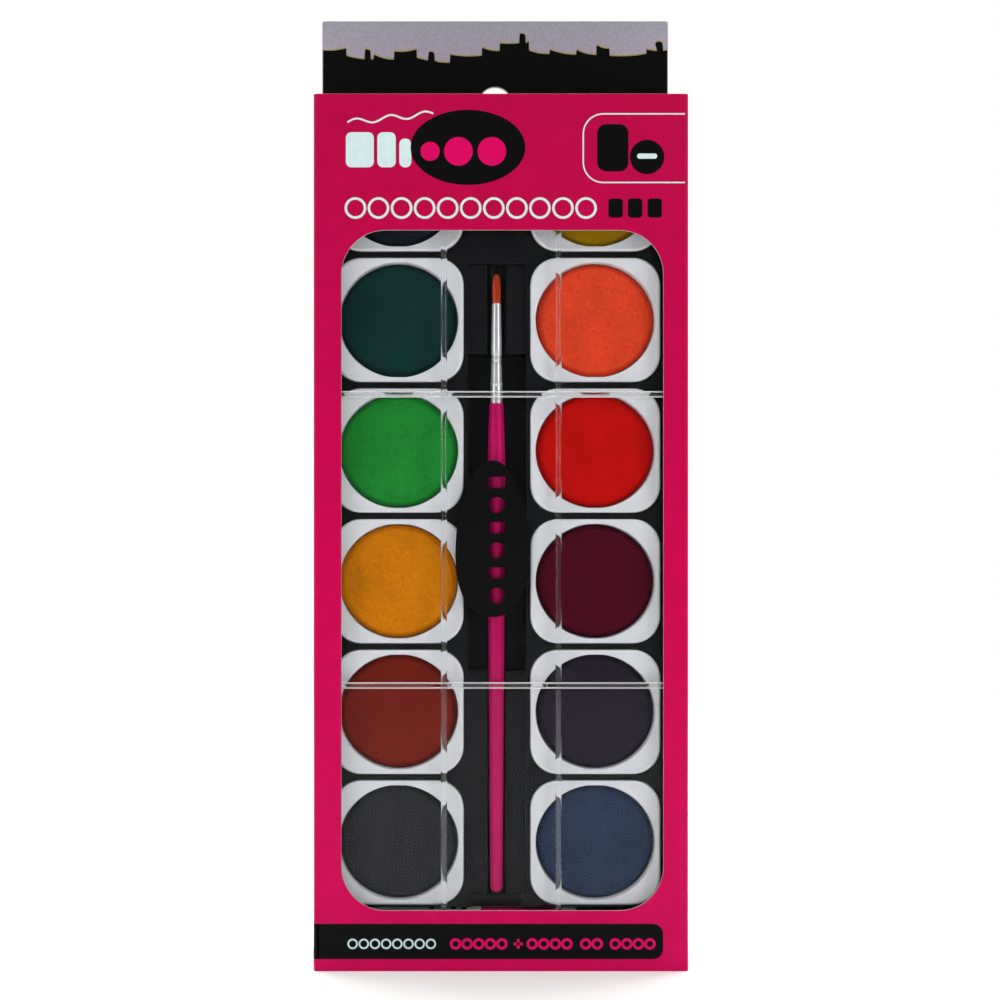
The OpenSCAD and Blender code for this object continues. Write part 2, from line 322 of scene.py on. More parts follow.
def plastic_material(name, colour, roughness, amount=0.05, grain=900, bump=0.05, sheen=0.4):
    """Moulded plastic: slightly uneven gloss and a very fine texture."""
    material, tree, shader = new_material(name, colour, roughness, Specular_IOR_Level=sheen)
    mottled(tree, shader, colour, amount, 140, 3)
    add_bump(tree, shader, noise_node(tree, grain, 3), bump, 0.00005)
    set_roughness(tree, shader, noise_node(tree, 90, 4), roughness * 0.8, roughness * 1.25)
    return material


def cake_material(name, colour):
    """Pressed paint: matt, finely speckled, with faint streaks and tiny pits."""
    material, tree, shader = new_material(name, colour, 0.62, Specular_IOR_Level=0.06)
    dark, plain, light = shades(colour, 0.3)
    speckle = noise_node(tree, 1500, 3, rough=0.75)
    fine = ramp(tree, speckle, [(0.28, dark), (0.45, plain), (0.56, plain), (0.68, light)])
    streaks = ramp(tree, noise_node(tree, 110, 4, (1.3, 1, 0.8)),
                   [(0.3, (0.86, 0.86, 0.86)), (0.6, (1, 1, 1))])
    multiply_base(tree, shader, fine, streaks)
    add_bump(tree, shader, speckle, 0.35, 0.00008)
    set_roughness(tree, shader, noise_node(tree, 300, 4), 0.45, 0.75)
    return material


def clear_material(name, haze):
    """Thin clear sheet: light goes straight through, with a soft sheen and painted shade that greys it when seen
    steeply.
    """
    material = bpy.data.materials.new(name)
    material.use_nodes = True
    tree = material.node_tree
    tree.nodes.remove(tree.nodes["Principled BSDF"])
    facing = add_node(tree, "LayerWeight").outputs["Facing"]
    steep = add_node(tree, "Math", facing, 5, operation="POWER").outputs["Value"]
    # painted shade: the see-through colour turns grey at grazing angles, standing in for the dark edges of clear
    # plastic
    grazing_shade = ramp(tree, steep, [(0.0, (0.955, 0.958, 0.962)), (0.25, (0.82, 0.83, 0.84)),
                              (1.0, (0.55, 0.57, 0.6))])
    through = add_node(tree, "BsdfTransparent", Color=grazing_shade)
    gloss = add_node(tree, "BsdfGlossy", Roughness=haze)
    add_bump(tree, gloss, noise_node(tree, 60, 2), 0.05, 0.0001)
    mix_shaders(tree, remap(tree, steep, To_Min=0.005, To_Max=0.5),
                through.outputs["BSDF"], gloss.outputs["BSDF"])
    material.diffuse_color = (0.9, 0.93, 0.95, 0.25)
    return material


def rib_material():
    """Solid clear ribs, which bend the view of what lies under them."""
    material, tree, shader = new_material("lid_rib_clear", (0.97, 0.98, 0.99), 0.03,
                                          Transmission_Weight=1.0, IOR=1.45)
    add_bump(tree, shader, noise_node(tree, 200, 2), 0.03, 0.00005)
    return material


def rib_glint_material():
    """Edge strips of the ribs: real gloss with a whitish, partly diffuse share as painted highlight, so they show
    as thin bright lines.
    """
    material, tree, shader = new_material("lid_rib_glint", (0.95, 0.95, 0.95), 0.25,
                                          Transmission_Weight=0.55, IOR=1.45)
    add_bump(tree, shader, noise_node(tree, 400, 3), 0.1, 0.00005)
    return material


def cut_edge_material():
    """Edge of the clear sheet, which looks darker because light runs through it lengthwise."""
    material, tree, shader = new_material("lid_cut_edge", (0.2, 0.24, 0.26), 0.3)
    add_bump(tree, shader, noise_node(tree, 300, 2), 0.05, 0.00005)
    return material


def lacquer_material(name, colour):
    """Lacquered wood: low gloss, with faint strokes along the grain."""
    material, tree, shader = new_material(name, colour, 0.35, Coat_Weight=0.08, Coat_Roughness=0.1,
                                          Specular_IOR_Level=0.08)
    mottled(tree, shader, colour, 0.08, 160, 4)
    add_bump(tree, shader, noise_node(tree, 500, 3, (1, 1, 0.05)), 0.08, 0.00005)
    return material


def metal_material(name, colour, roughness):
    """Drawn metal: fine lines round the ferrule and patchy brightness."""
    material, tree, shader = new_material(name, colour, roughness, Metallic=0.6)
    mottled(tree, shader, colour, 0.12, 300, 3)
    lines = noise_node(tree, 900, 3, (0.05, 0.05, 4))
    add_bump(tree, shader, lines, 0.15, 0.00004)
    set_roughness(tree, shader, lines, roughness * 0.7, roughness * 1.4)
    return material


def hair_material():
    """Orange hair, lighter and darker from strand to strand."""
    colour = (0.62, 0.055, 0.001)
    material, tree, shader = new_material("bristle_hair", colour, 0.45)
    strands = noise_node(tree, 2200, 2, (1, 1, 0.03))
    dark, plain, light = shades(colour, 0.5)
    tree.links.new(ramp(tree, strands, [(0.35, dark), (0.5, plain), (0.65, light)]),
                   shader.inputs["Base Color"])
    return material


# ---------------------------------------------------------------- mesh helpers

def new_object(name, mesh, smooth_angle=None, closed=True):
    data = bpy.data.meshes.new(name)
    if closed:
        bmesh.ops.recalc_face_normals(mesh, faces=mesh.faces)
    mesh.normal_update()
    mesh.to_mesh(data)
    mesh.free()
    piece = bpy.data.objects.new(name, data)
    bpy.context.collection.objects.link(piece)
    if smooth_angle is not None:
        smooth_by_angle(piece, smooth_angle)
    return piece


def smooth_by_angle(piece, degrees):
    """Smooth shading, with edges sharper than the angle kept hard."""
    limit = math.radians(degrees)
    mesh = bmesh.new()
    mesh.from_mesh(piece.data)
    for face in mesh.faces:
        face.smooth = True
    for edge in mesh.edges:
        edge.smooth = len(edge.link_faces) == 2 and edge.calc_face_angle(0) < limit
    mesh.to_mesh(piece.data)
    mesh.free()


def add_bevel(piece, width, angle):
    modifier = piece.modifiers.new("bevel", "BEVEL")
    modifier.width = width
    modifier.segments = 2
    modifier.limit_method = "ANGLE"
    modifier.angle_limit = math.radians(angle)


def loft(mesh, rings, loop=False):
    """Skins closed rings of equal length, with flat ends, or with the last ring joined to the first."""
    made = [[mesh.verts.new(p) for p in ring] for ring in rings]
    count = len(rings[0])
    for a, b in zip(made, made[1:] + (made[:1] if loop else [])):
        for i in range(count):
            j = (i + 1) % count
            mesh.faces.new((a[i], a[j], b[j], b[i]))
    if not loop:
        mesh.faces.new(list(reversed(made[0])))
        mesh.faces.new(made[-1])


def lofted(name, rings, smooth_angle=None, loop=False):
    mesh = bmesh.new()
    loft(mesh, rings, loop)
    return new_object(name, mesh, smooth_angle)


def arc(x, z, radius, start, stop, steps):
    """Points on an arc about x, z, from one angle in degrees to another."""
    angles = (math.radians(start + (stop - start) * i / steps) for i in range(steps + 1))
    return [(x + radius * math.cos(a), z + radius * math.sin(a)) for a in angles]


def disc(radius, steps=40):
    return arc(0, 0, radius, 0, 360, steps)[:-1]


def round_rect(half_w, half_h, radius, steps=8):
    """Outline of a rectangle with round corners, anticlockwise from the right side's upper end."""
    points = []
    for quarter, (sx, sz) in enumerate(((1, 1), (-1, 1), (-1, -1), (1, -1))):
        points += arc(sx * (half_w - radius), sz * (half_h - radius), radius,
                      90 * quarter, 90 * quarter + 90, steps)
    return points


def round_square(half_w, half_h, radius, steps=96):
    """The same outline with its points spread evenly by angle about the centre."""
    core_w, core_h = half_w - radius, half_h - radius
    points = []
    for i in range(steps):
        a = math.tau * i / steps
        dx, dz = abs(math.cos(a)), abs(math.sin(a))
        if half_w * dz <= core_h * dx:
            reach = half_w / dx
        elif half_h * dx <= core_w * dz:
            reach = half_h / dz
        else:
            along = dx * core_w + dz * core_h
            reach = along + math.sqrt(max(0, radius ** 2 - core_w ** 2 - core_h ** 2 + along ** 2))
        points.append((reach * math.cos(a), reach * math.sin(a)))
    return points


def ellipse_like(outline, half_w, half_h):
    """Points on an ellipse in the same directions as the outline's points."""
    result = []
    for x, z in outline:
        a = math.atan2(z / half_h, x / half_w)
        result.append((half_w * math.cos(a), half_h * math.sin(a)))
    return result


def prism(mesh, outline, y0, y1, at=(0, 0)):
    """Closed plate between two Y planes, from an outline in X and Z."""
    loft(mesh, [[(at[0] + x, y, at[1] + z) for x, z in outline] for y in (y1, y0)])


def plates(name, shapes, y0, y1):
    """Plates in one object; each shape is an outline and its centre."""
    mesh = bmesh.new()
    for outline, at in shapes:
        prism(mesh, outline, y0, y1, at)
    return new_object(name, mesh)


def finish_piece(piece, body, material, slot, *nodes):
    if not piece.data.materials:
        piece.data.materials.append(material)
    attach(piece, body)
    if nodes:
        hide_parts(*nodes)
    return piece


def cut_shapes(piece, shapes, y0, y1):
    """Cuts shapes, each an outline and its centre, out of a plate for good."""
    cutter = plates("cutter", shapes, y0, y1)
    modifier = piece.modifiers.new("cut", "BOOLEAN")
    modifier.operation = "DIFFERENCE"
    modifier.solver = "EXACT"
    modifier.object = cutter
    evaluated = piece.evaluated_get(bpy.context.evaluated_depsgraph_get())
    data = bpy.data.meshes.new_from_object(evaluated)
    piece.modifiers.clear()
    piece.data = data
    bpy.data.objects.remove(cutter)


# ---------------------------------------------------------------- carton

def paint_by_side(piece, outside, core, is_outside):
    piece.data.materials.clear()
    piece.data.materials.append(outside)
    piece.data.materials.append(core)
    for face in piece.data.polygons:
        face.material_index = 0 if is_outside(face.center, face.normal) else 1


def make_carton(print_ink_shaded, core):
    """One folded sleeve of board: four panels with rounded creases and a window cut in the front."""
    mid_y = (FRONT_Y + BACK_Y) / 2
    outer, inner = (round_rect(CARTON_W / 2 - inset, (BACK_Y - FRONT_Y) / 2 - inset, FOLD - inset, 6)
                    for inset in (0, BOARD))
    levels = [panel_low.z + CARTON_H * i / 12 for i in range(13)]
    rings = [[(x, mid_y + y, z) for x, y in outer] for z in levels]
    rings += [[(x, mid_y + y, z) for x, y in inner] for z in reversed(levels)]
    carton = lofted("carton_sleeve", rings, loop=True)
    window_w, window_h, window_r = 0.0807, 0.1705, 0.011
    cut_shapes(carton, [(round_rect(window_w / 2, window_h / 2, window_r, 12), (0.00035, 0.1005))],
               FRONT_Y - BOARD, FRONT_Y + 3 * BOARD)

    def is_outside(centre, normal):
        on_window = abs(normal.y) < 0.1 and abs(centre.x) < window_w / 2 + 0.001
        outward = centre.x * normal.x + (centre.y - mid_y) * normal.y > 0
        return outward and abs(normal.z) < 0.5 and not on_window

    paint_by_side(carton, print_ink_shaded, core, is_outside)
    smooth_by_angle(carton, 30)
    add_bevel(carton, 0.00012, 60)
    finish_piece(carton, "root", None, "printed_board",
                 "front_panel", "left_panel", "right_panel", "back_panel")


def make_header(sky, back_ink, core):
    """Two glued layers with a round hang hole; the front one carries the print."""
    mid, half = centre_and_half(header_low, header_high)
    outline = round_rect(half.x, half.z, 0.0006, 4)
    for name, node, facing, ink, slot in (
            ("header_print_layer", "header_front_layer", -1, sky, "header_print"),
            ("header_rear_layer", "header_back_layer", 1, back_ink, "printed_board")):
        low, high = corners(node)
        layer = plates(name, [(outline, (mid.x, mid.z))], low.y, high.y)
        cut_shapes(layer, [(disc(HOLE_R, 64), (HOLE_X, HOLE_Z))], low.y - BOARD, high.y + BOARD)
        paint_by_side(layer, ink, core, lambda centre, normal: normal.y * facing > 0.5)
        smooth_by_angle(layer, 30)
        add_bevel(layer, 0.0001, 60)
        finish_piece(layer, "header", None, slot, node)


def make_crease(ink):
    """Scored strip of board between the back panel and the header, dented along the score."""
    reach = 0.0008
    hinge_z = named(frame["joints"], "header_fold")["pos_m"][2]
    mid, half = centre_and_half(header_low, header_high)
    rings = []
    for i in range(9):
        z = hinge_z - reach + 2 * reach * i / 8
        dent = 0.00012 * math.exp(-((i - 4) / 1.6) ** 2)
        y0, y1 = BACK_Y - BOARD + dent, BACK_Y + 0.00005 - dent
        rings.append([(mid.x + half.x * side, y, z)
                      for side, y in ((-1, y0), (1, y0), (1, y1), (-1, y1))])
    crease = lofted("header_crease", rings, 30)
    crease.data.materials.append(ink)
    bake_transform(crease)


# ---------------------------------------------------------------- print on the carton

INK_LIFT = 0.00004


def make_print(name, shapes, material, layer=1, face_y=FRONT_Y, body="root", slot="printed_board"):
    """Flat printed shapes; each shape is an outline and its centre."""
    y = face_y - INK_LIFT * layer
    piece = plates(name, shapes, y, y + INK_LIFT * (layer + 0.6))
    finish_piece(piece, body, material, slot)


def bar(width, height, radius=None):
    return round_rect(width / 2, height / 2, min(width, height) / 2.02 if radius is None else radius)


def ring_route(x, z, radius, steps=40):
    return [(x + dx, z + dz) for dx, dz in disc(radius, steps)], True


def make_stroke(name, routes, width, material, layer=1):
    """Thin printed lines; each route is its points in X and Z, and whether it closes."""
    y = FRONT_Y - INK_LIFT * layer
    mesh = bmesh.new()
    for route, closed in routes:
        rings = []
        for i, (x, z) in enumerate(route):
            before = route[i - 1] if closed or i else route[0]
            after = route[(i + 1) % len(route)] if closed or i < len(route) - 1 else route[-1]
            dx, dz = after[0] - before[0], after[1] - before[1]
            size = math.hypot(dx, dz) or 1
            nx, nz = -dz / size * width / 2, dx / size * width / 2
            rings.append([(x + nx, y, z + nz), (x - nx, y, z - nz),
                          (x - nx, FRONT_Y, z - nz), (x + nx, FRONT_Y, z + nz)])
        loft(mesh, rings, closed)
    finish_piece(new_object(name, mesh), "root", material, "printed_board")


def make_side_strip(black, mid_z, height):
    """The dark strip goes on round the left fold and part of the way along the left side."""
    x = panel_low.x + FOLD
    route = [(x + 0.0004, FRONT_Y, 0, -1)]
    route += [(x + FOLD * nx, FRONT_Y + FOLD + FOLD * ny, nx, ny)
              for nx, ny in arc(0, 0, 1, 270, 180, 8)]
    end_y, corner = BACK_Y - 0.0065, 0.0025
    route += [(x - FOLD, end_y - corner + corner * math.sin(math.radians(15 * i)), -1, 0)
              for i in range(7)]
    rings = []
    for px, py, nx, ny in route:
        past = max(0.0, (py - end_y + corner) / corner)
        half = height / 2 - corner * (1 - math.sqrt(max(0.0, 1 - past * past)))
        rings.append([(px + lift * nx, py + lift * ny, mid_z + half * up)
                      for lift, up in ((INK_LIFT, -1), (INK_LIFT, 1), (-INK_LIFT, 1), (-INK_LIFT, -1))])
    finish_piece(lofted("print_side_strip", rings, 30), "root", black, "printed_board")


def make_front_print(black, white, pink):
    left = panel_low.x + FOLD
    # black strip near the bottom, square at the left edge and round at the right
    strip_right, strip_z, strip_h, strip_r = 0.0406, 0.0075, 0.0088, 0.0025
    low, high = strip_z - strip_h / 2, strip_z + strip_h / 2
    strip = [(left, low)] + arc(strip_right - strip_r, low + strip_r, strip_r, -90, 0, 8)
    strip += arc(strip_right - strip_r, high - strip_r, strip_r, 0, 90, 8) + [(left, high)]
    make_print("print_strip", [(strip, (0, 0))], black)
    make_side_strip(black, strip_z, strip_h)
    row_z, row_r = strip_z - 0.0006, 0.0011
    make_stroke("print_strip_white", [ring_route(-0.0372 + 0.0028 * i, row_z, row_r, 24)
                                      for i in range(8)], 0.00042, white, 2)
    groups = ((-0.0114, 5), (0.0078, 4), (0.0212, 2), (0.0286, 4))
    routes = [ring_route(start + 0.0029 * i, row_z, row_r, 24) for start, count in groups
              for i in range(count)]
    plus_x, plus = 0.0043, 0.0012
    routes += [([(plus_x - plus, row_z), (plus_x + plus, row_z)], False),
               ([(plus_x, row_z - plus), (plus_x, row_z + plus)], False)]
    make_stroke("print_strip_pink", routes, 0.0007, pink, 2)

    # emblem: pale blocks beside a dark oval with dots
    oval_x, oval_z = -0.0083, 0.2065
    make_print("print_oval", [(ellipse_like(disc(1, 72), 0.0144, 0.0094), (oval_x, oval_z))], black)
    make_print("print_oval_dots", [(disc(r), (oval_x + x, oval_z - 0.001)) for x, r in
                                   ((-0.0095, 0.0024), (-0.0024, 0.0036), (0.0060, 0.0036))], pink, 2)
    make_print("print_pale_blocks", [(bar(w, h, 0.0014), (x, 0.2015 + h / 2)) for x, w, h in
                                     ((-0.0354, 0.0070, 0.0088), (-0.0287, 0.0046, 0.0088),
                                      (-0.0240, 0.0030, 0.0072))], white)
    flourish = [(-0.0385 + 0.0215 * t, 0.2128 + 0.0007 * math.sin(t * math.tau * 2.5) + 0.0022 * t)
                for t in (i / 40 for i in range(41))]
    make_stroke("print_flourish", [(flourish, False)], 0.00045, white)

    # title line: a chain of thin rings, then three dark blocks
    title_z = 0.1913
    make_stroke("print_rings", [ring_route(-0.0365 + 0.00578 * i, title_z, 0.0024)
                                for i in range(11)], 0.00062, white)
    make_print("print_blocks", [(bar(0.0036, 0.0048, 0.0008), (0.0287 + 0.0049 * i, title_z))
                                for i in range(3)], black)

    # tab with a thin outline that runs off the right edge
    tab_x, tab_low, tab_high, tab_r = 0.0206, 0.1977, 0.2149, 0.0050
    edge = panel_high.x - FOLD
    route = [(edge, tab_high)] + arc(tab_x + tab_r, tab_high - tab_r, tab_r, 90, 180, 12)
    route += arc(tab_x + tab_r, tab_low + tab_r, tab_r, 180, 270, 12) + [(edge, tab_low)]
    make_stroke("print_tab_line", [(route, False)], 0.00035, white)
    make_print("print_tab_shapes", [(bar(0.0078, 0.0118, 0.0022), (0.0280, 0.2064)),
                                    (disc(0.0043), (0.0366, 0.2041))], black)
    make_print("print_tab_dash", [(bar(0.0050, 0.0013), (0.0366, 0.2043))], white, 2)


def skyline(seed):
    """Stepped, gently sagging roofs, some with a stout round-topped turret: (x, height share)."""
    pick = random.Random(seed)
    x, end = header_low.x, header_high.x
    step, level, points, block = 0.00005, 0.71, [], 0
    while x < end - 2 * step:
        stop = min(end, x + pick.uniform(0.0035, 0.0100))
        fall = pick.choice((-0.05, -0.035, -0.01, 0.02))
        turret_at = pick.uniform(0.45, 0.8) if block % 3 == 1 and stop - x > 0.0055 else 2
        for i in range(7):
            t = i / 6
            points.append((x + step + (stop - x - 2 * step) * t,
                           level + fall * t - 0.012 * math.sin(math.pi * t)))
            if t <= turret_at < t + 1 / 6 and i < 6:
                at, half, foot = x + (stop - x) * (t + 1 / 12), 0.0011, level + fall * t - 0.012
                tall = pick.uniform(0.06, 0.09)
                points += [(at - half, foot)]
                points += [(at - 0.9 * half * math.cos(math.radians(a)),
                            foot + tall + 0.025 * math.sin(math.radians(a)))
                           for a in range(0, 181, 20)]
                points += [(at + half, foot)]
        points = [p for i, p in enumerate(points) if i == 0 or p[0] > points[i - 1][0]]
        change = pick.choice((-1, 1)) * pick.uniform(0.04, 0.11)
        level = level + fall + (change if 0.60 < level + fall + change < 0.79 else -change)
        x, block = stop, block + 1
    return points


def make_header_print(black, edge):
    base, tall, inset = header_low.z, header_high.z - header_low.z, 0.0002
    left, right = header_low.x + inset, header_high.x - inset
    clear_r = HOLE_R + 0.00015
    above_hole = HOLE_Z + clear_r + 0.0002
    roofs = skyline(11)
    where = (header_low.y, "header", "header_print")
    for name, raise_by, ink, layer in (("print_roof_edge", 0.00035, edge, 1),
                                       ("print_roofs", 0, black, 2)):
        outline = [(left, above_hole), (right, above_hole)]
        outline += [(min(right, max(left, x)), base + share * tall + raise_by)
                    for x, share in reversed(roofs)]
        make_print(name, [(outline, (0, 0))], ink, layer, *where)
    # the print goes on below, round the hang hole
    halves = []
    low = base + 0.0001
    for side, edge_x in ((1, right), (-1, left)):
        bow = [(HOLE_X + side * x, max(low, HOLE_Z + z)) for x, z in arc(0, 0, clear_r, -90, 90, 36)]
        outline = [(HOLE_X, low)] + bow + [(HOLE_X, above_hole), (edge_x, above_hole), (edge_x, low)]
        halves.append((outline[::side], (0, 0)))
    make_print("print_roofs_low", halves, black, 2, *where)


# ---------------------------------------------------------------- pans and cakes

PAN_R = 0.0069
WELL_W, WELL_H = 0.01515, 0.01460        # half sizes of the well, a little wider than high
RIM_EDGE = 0.00045
WELL_DEPTH = 0.006


def add_pan(mesh, low, high):
    """Square pan with a round well, a rolled rim and a hollow skirt behind."""
    mid, half = centre_and_half(low, high)
    front, back = low.y, high.y

    def ring(inset, y):
        return [(mid.x + x, y, mid.z + z)
                for x, z in round_square(half.x - inset, half.z - inset, PAN_R - inset)]

    base = round_square(half.x, half.z, PAN_R)

    def oval(extra, y):
        return [(mid.x + x, y, mid.z + z)
                for x, z in ellipse_like(base, WELL_W + extra, WELL_H + extra)]

    skirt, face, lip = 0.0012, front + 0.00018, 0.00015
    rings = [ring(skirt + 0.0002, back - 0.0020), ring(skirt, back), ring(0.0003, back),
             ring(0.00022, back - 0.0003), ring(0.0001, back - 0.003),
             ring(0.0, front + RIM_EDGE + 0.0006)]
    rings += [ring(RIM_EDGE + inset, front + RIM_EDGE + y)
              for inset, y in arc(0, 0, RIM_EDGE, 180, 270, 4)]
    rings += [ring(0.00085, front), ring(0.00105, front + 0.0001), ring(0.0012, face)]
    rings += [oval(lip + x, face + lip + y) for x, y in arc(0, 0, lip, 270, 180, 4)]
    rings += [oval(-0.0001, front + 0.0025), oval(-0.0003, front + WELL_DEPTH)]
    loft(mesh, rings)


def make_pans(plastic):
    for side, row in PLACES:
        mesh = bmesh.new()
        node = f"front_pan_{side}_{row}"
        add_pan(mesh, *corners(node))
        finish_piece(new_object(f"pan_{side}_{row}", mesh, 35), "front_case", plastic,
                     "pan_plastic", node)


def add_cake(mesh, low, high, seed):
    """Pressed cake: rounded edge, a slight dish and an uneven face."""
    mid = (low + high) / 2
    front, back = low.y, high.y
    gap = 0.0003

    def ring(share, y, ragged=0.0):
        points = []
        for px, pz in disc(share, 72):
            x, z = (WELL_W - gap) * px, (WELL_H - gap) * pz
            k = 1 + ragged * noise.noise(Vector((x * 900, z * 900, seed * 3.7)))
            lift = 0.00006 * noise.noise(Vector((x * 260, z * 260, seed * 5.1)))
            points.append((mid.x + x * k, y + lift, mid.z + z * k))
        return points

    rings = [ring(0.985, back - 0.0001), ring(0.992, front + 0.0022), ring(1.0, front + 0.00125, 0.003),
             ring(0.996, front + 0.00105, 0.003), ring(0.93, front + 0.00012, 0.002),
             ring(0.915, front + 0.00002, 0.001), ring(0.9, front)]
    for share in (0.86, 0.78, 0.68, 0.56, 0.43, 0.3, 0.17, 0.06):
        rings.append(ring(share, front + 0.00010 * (0.8 - share * share)))
    loft(mesh, rings)


# Row 1 (each list's first colour) sits under the window's upper edge: its colour is the paint's own with painted
# shadow of that edge mixed in.
FRONT_PAINTS_ROW1_SHADED = {
    "left": [(0.012, 0.018, 0.030), (0.003, 0.032, 0.028), (0.012, 0.245, 0.030),
             (0.64, 0.200, 0.0008), (0.185, 0.0105, 0.003), (0.027, 0.0265, 0.031)],
    "right": [(0.44, 0.25, 0.001), (0.78, 0.060, 0.018), (0.55, 0.002, 0.001),
              (0.076, 0.001, 0.011), (0.018, 0.0135, 0.025), (0.026, 0.043, 0.088)],
}
REAR_PAINTS = [(0.80, 0.62, 0.03), (0.85, 0.42, 0.12), (0.80, 0.22, 0.05), (0.66, 0.09, 0.16),
               (0.40, 0.03, 0.20), (0.17, 0.03, 0.30), (0.04, 0.07, 0.42), (0.02, 0.24, 0.52),
               (0.02, 0.38, 0.36), (0.20, 0.46, 0.06), (0.30, 0.20, 0.09), (0.75, 0.74, 0.70)]


def cake_seed(side, row):
    return row + (10 if side == "right" else 0)


def make_cakes():
    for side, row in PLACES:
        mesh = bmesh.new()
        node, paint = f"front_cake_{side}_{row}", f"paint_{side}_{row}"
        add_cake(mesh, *corners(node), cake_seed(side, row))
        # row 1's colours hold painted shadow as well as the paint
        material = cake_material(paint, FRONT_PAINTS_ROW1_SHADED[side][row - 1])
        finish_piece(new_object(f"cake_{side}_{row}", mesh, 40), "front_case", material, paint, node)


def make_rear_set(plastic):
    """The hidden case's twelve pans and cakes, placed as the front ones are."""
    shift = Vector((0, corners("rear_tray")[0].y - corners("front_tray")[0].y, 0))
    pans, cakes = bmesh.new(), bmesh.new()
    for index, (side, row) in enumerate(PLACES):
        add_pan(pans, *(corner + shift for corner in corners(f"front_pan_{side}_{row}")))
        made = len(cakes.faces)
        low, high = corners(f"front_cake_{side}_{row}")
        add_cake(cakes, low + shift, high + shift, 30 + cake_seed(side, row))
        cakes.faces.ensure_lookup_table()
        for face in cakes.faces[made:]:
            face.material_index = index
    finish_piece(new_object("rear_pans_detailed", pans, 35), "rear_case", plastic,
                 "pan_plastic", "rear_pans")
    piece = new_object("rear_cakes_detailed", cakes, 40)
    for i, colour in enumerate(REAR_PAINTS, 1):
        piece.data.materials.append(cake_material(f"rear_paint_{i}", colour))
    finish_piece(piece, "rear_case", None, "rear_cakes", "rear_cakes")


# ---------------------------------------------------------------- lids

def half_round_bar(mesh, start, end, width, height, base_y):
    """Rib with a rounded face towards -Y, from start to end in X and Z, rounded off at its ends."""
    (sx, sz), (ex, ez) = start, end
    length = math.hypot(ex - sx, ez - sz)
    ux, uz = (ex - sx) / length, (ez - sz) / length
    bend = (width * width / 4 + height * height) / (2 * height)
    fade = height * 2
    rings = []
    for along, size in ((0, 0.12), (fade * 0.3, 0.7), (fade, 1), (length - fade, 1),
                        (length - fade * 0.3, 0.7), (length, 0.12)):
        ring = []
        for i in range(15):
            across = width / 2 * math.cos(math.pi * i / 14)
            out = (math.sqrt(bend * bend - across * across) - bend + height) * size
            ring.append((sx + ux * along - uz * across, base_y - out, sz + uz * along + ux * across))
        rings.append(ring)
    loft(mesh, rings)


def make_lid(name, body, sheet_clear, cut_edge, rib_clear, rib_glint):
    """Clear sheet with two long ribs, two rows of cross ribs and three short grip ribs."""
    low, high = corners(name)
    mid, half = centre_and_half(low, high)
    rib_h, rib_w, reach = 0.0004, 0.0015, half.x - 0.0022
    base_y = low.y + rib_h
    outline = round_rect(half.x, half.z, 0.0015, 6)
    sheet = lofted(f"{name}_sheet", [[(mid.x + x, y, mid.z + z) for x, z in outline]
                                     for y in (high.y, base_y)], 40)
    finish_piece(sheet, body, sheet_clear, "clear_plastic", name)
    sheet.data.materials.append(cut_edge)
    for face in sheet.data.polygons:
        face.material_index = 1 if abs(face.normal.y) < 0.5 else 0

    base_y -= 0.00001
    cross_ribs = [low.z + share * (high.z - low.z) for share in (0.3184, 0.6596)]
    mesh = bmesh.new()
    for side in (-1, 1):
        x = mid.x + side * 0.0144 + 0.001
        half_round_bar(mesh, (x, low.z + 0.001), (x, high.z - 0.0115), rib_w, 0.00055, base_y)
    for z in cross_ribs:
        for x0, x1 in ((-reach, -0.0161), (-0.0125, 0.0127), (0.0163, reach)):
            half_round_bar(mesh, (mid.x + x0, z), (mid.x + x1, z), rib_w, rib_h, base_y)
    for i in range(3):
        z = high.z - 0.0128 + 0.003 * i
        half_round_bar(mesh, (mid.x - 0.010, z), (mid.x + 0.010, z), 0.0014, rib_h, base_y)
    finish_piece(new_object(f"{name}_ribs", mesh, 50), body, rib_clear, "clear_plastic")

    # painted highlight: thin whitish strips along both edges of each cross rib, which show as bright lines
    mesh = bmesh.new()
    for rib_z in cross_ribs:
        for z in (rib_z - 0.0006, rib_z + 0.0006):
            half_round_bar(mesh, (mid.x - reach, z), (mid.x + reach, z), 0.0004, 0.00012,
                           base_y - 0.00012)
    finish_piece(new_object(f"{name}_rib_glints", mesh, 50), body, rib_glint, "clear_plastic")


def make_label(film):
    """Dark oval film with plain slots, through which the handle shows."""
    low, high = corners("lid_label")
    mid, half = centre_and_half(low, high)
    outline = []
    for point in disc(1, 96):
        x, z = (math.copysign(abs(p) ** 0.9, p) for p in point)
        outline.append((half.x * x * (1 - 0.15 * z) / 1.012, half.z * z))
    label = plates("lid_film_label", [(outline, (mid.x, mid.z))], low.y, high.y)
    brush_x = centre_and_half(*corners("brush_handle"))[0].x
    round_slot, square_slot = disc(0.0020, 32), round_rect(0.0022, 0.0014, 0.0006, 5)
    cut_shapes(label, [(round_slot if i % 2 else square_slot, (brush_x, mid.z + 0.0142 - 0.0057 * i))
                       for i in range(6)], low.y - 0.001, high.y + 0.001)
    smooth_by_angle(label, 30)
    finish_piece(label, "front_cover", film, "label_film", "lid_label")


# ---------------------------------------------------------------- brush

def turned(name, profile, x, y, smooth_angle, loop=False):
    """Object turned from (radius, z) points about the vertical axis at x, y."""
    return lofted(name, [[(x + px, y + py, z) for px, py in disc(r)] for r, z in profile],
                  smooth_angle, loop)


def smooth_profile(points, per_span=6):
    """Catmull-Rom curve through (radius, z) points."""
    result = []
    for i in range(len(points) - 1):
        p0, p1 = points[max(0, i - 1)], points[i]
        p2, p3 = points[i + 1], points[min(len(points) - 1, i + 2)]
        for k in range(per_span):
            t = k / per_span
            result.append(tuple(
                0.5 * (2 * b + (c - a) * t + (2 * a - 5 * b + 4 * c - d) * t * t
                       + (3 * b - a - 3 * c + d) * t ** 3)
                for a, b, c, d in zip(p0, p1, p2, p3)))
    result.append(points[-1])
    return result


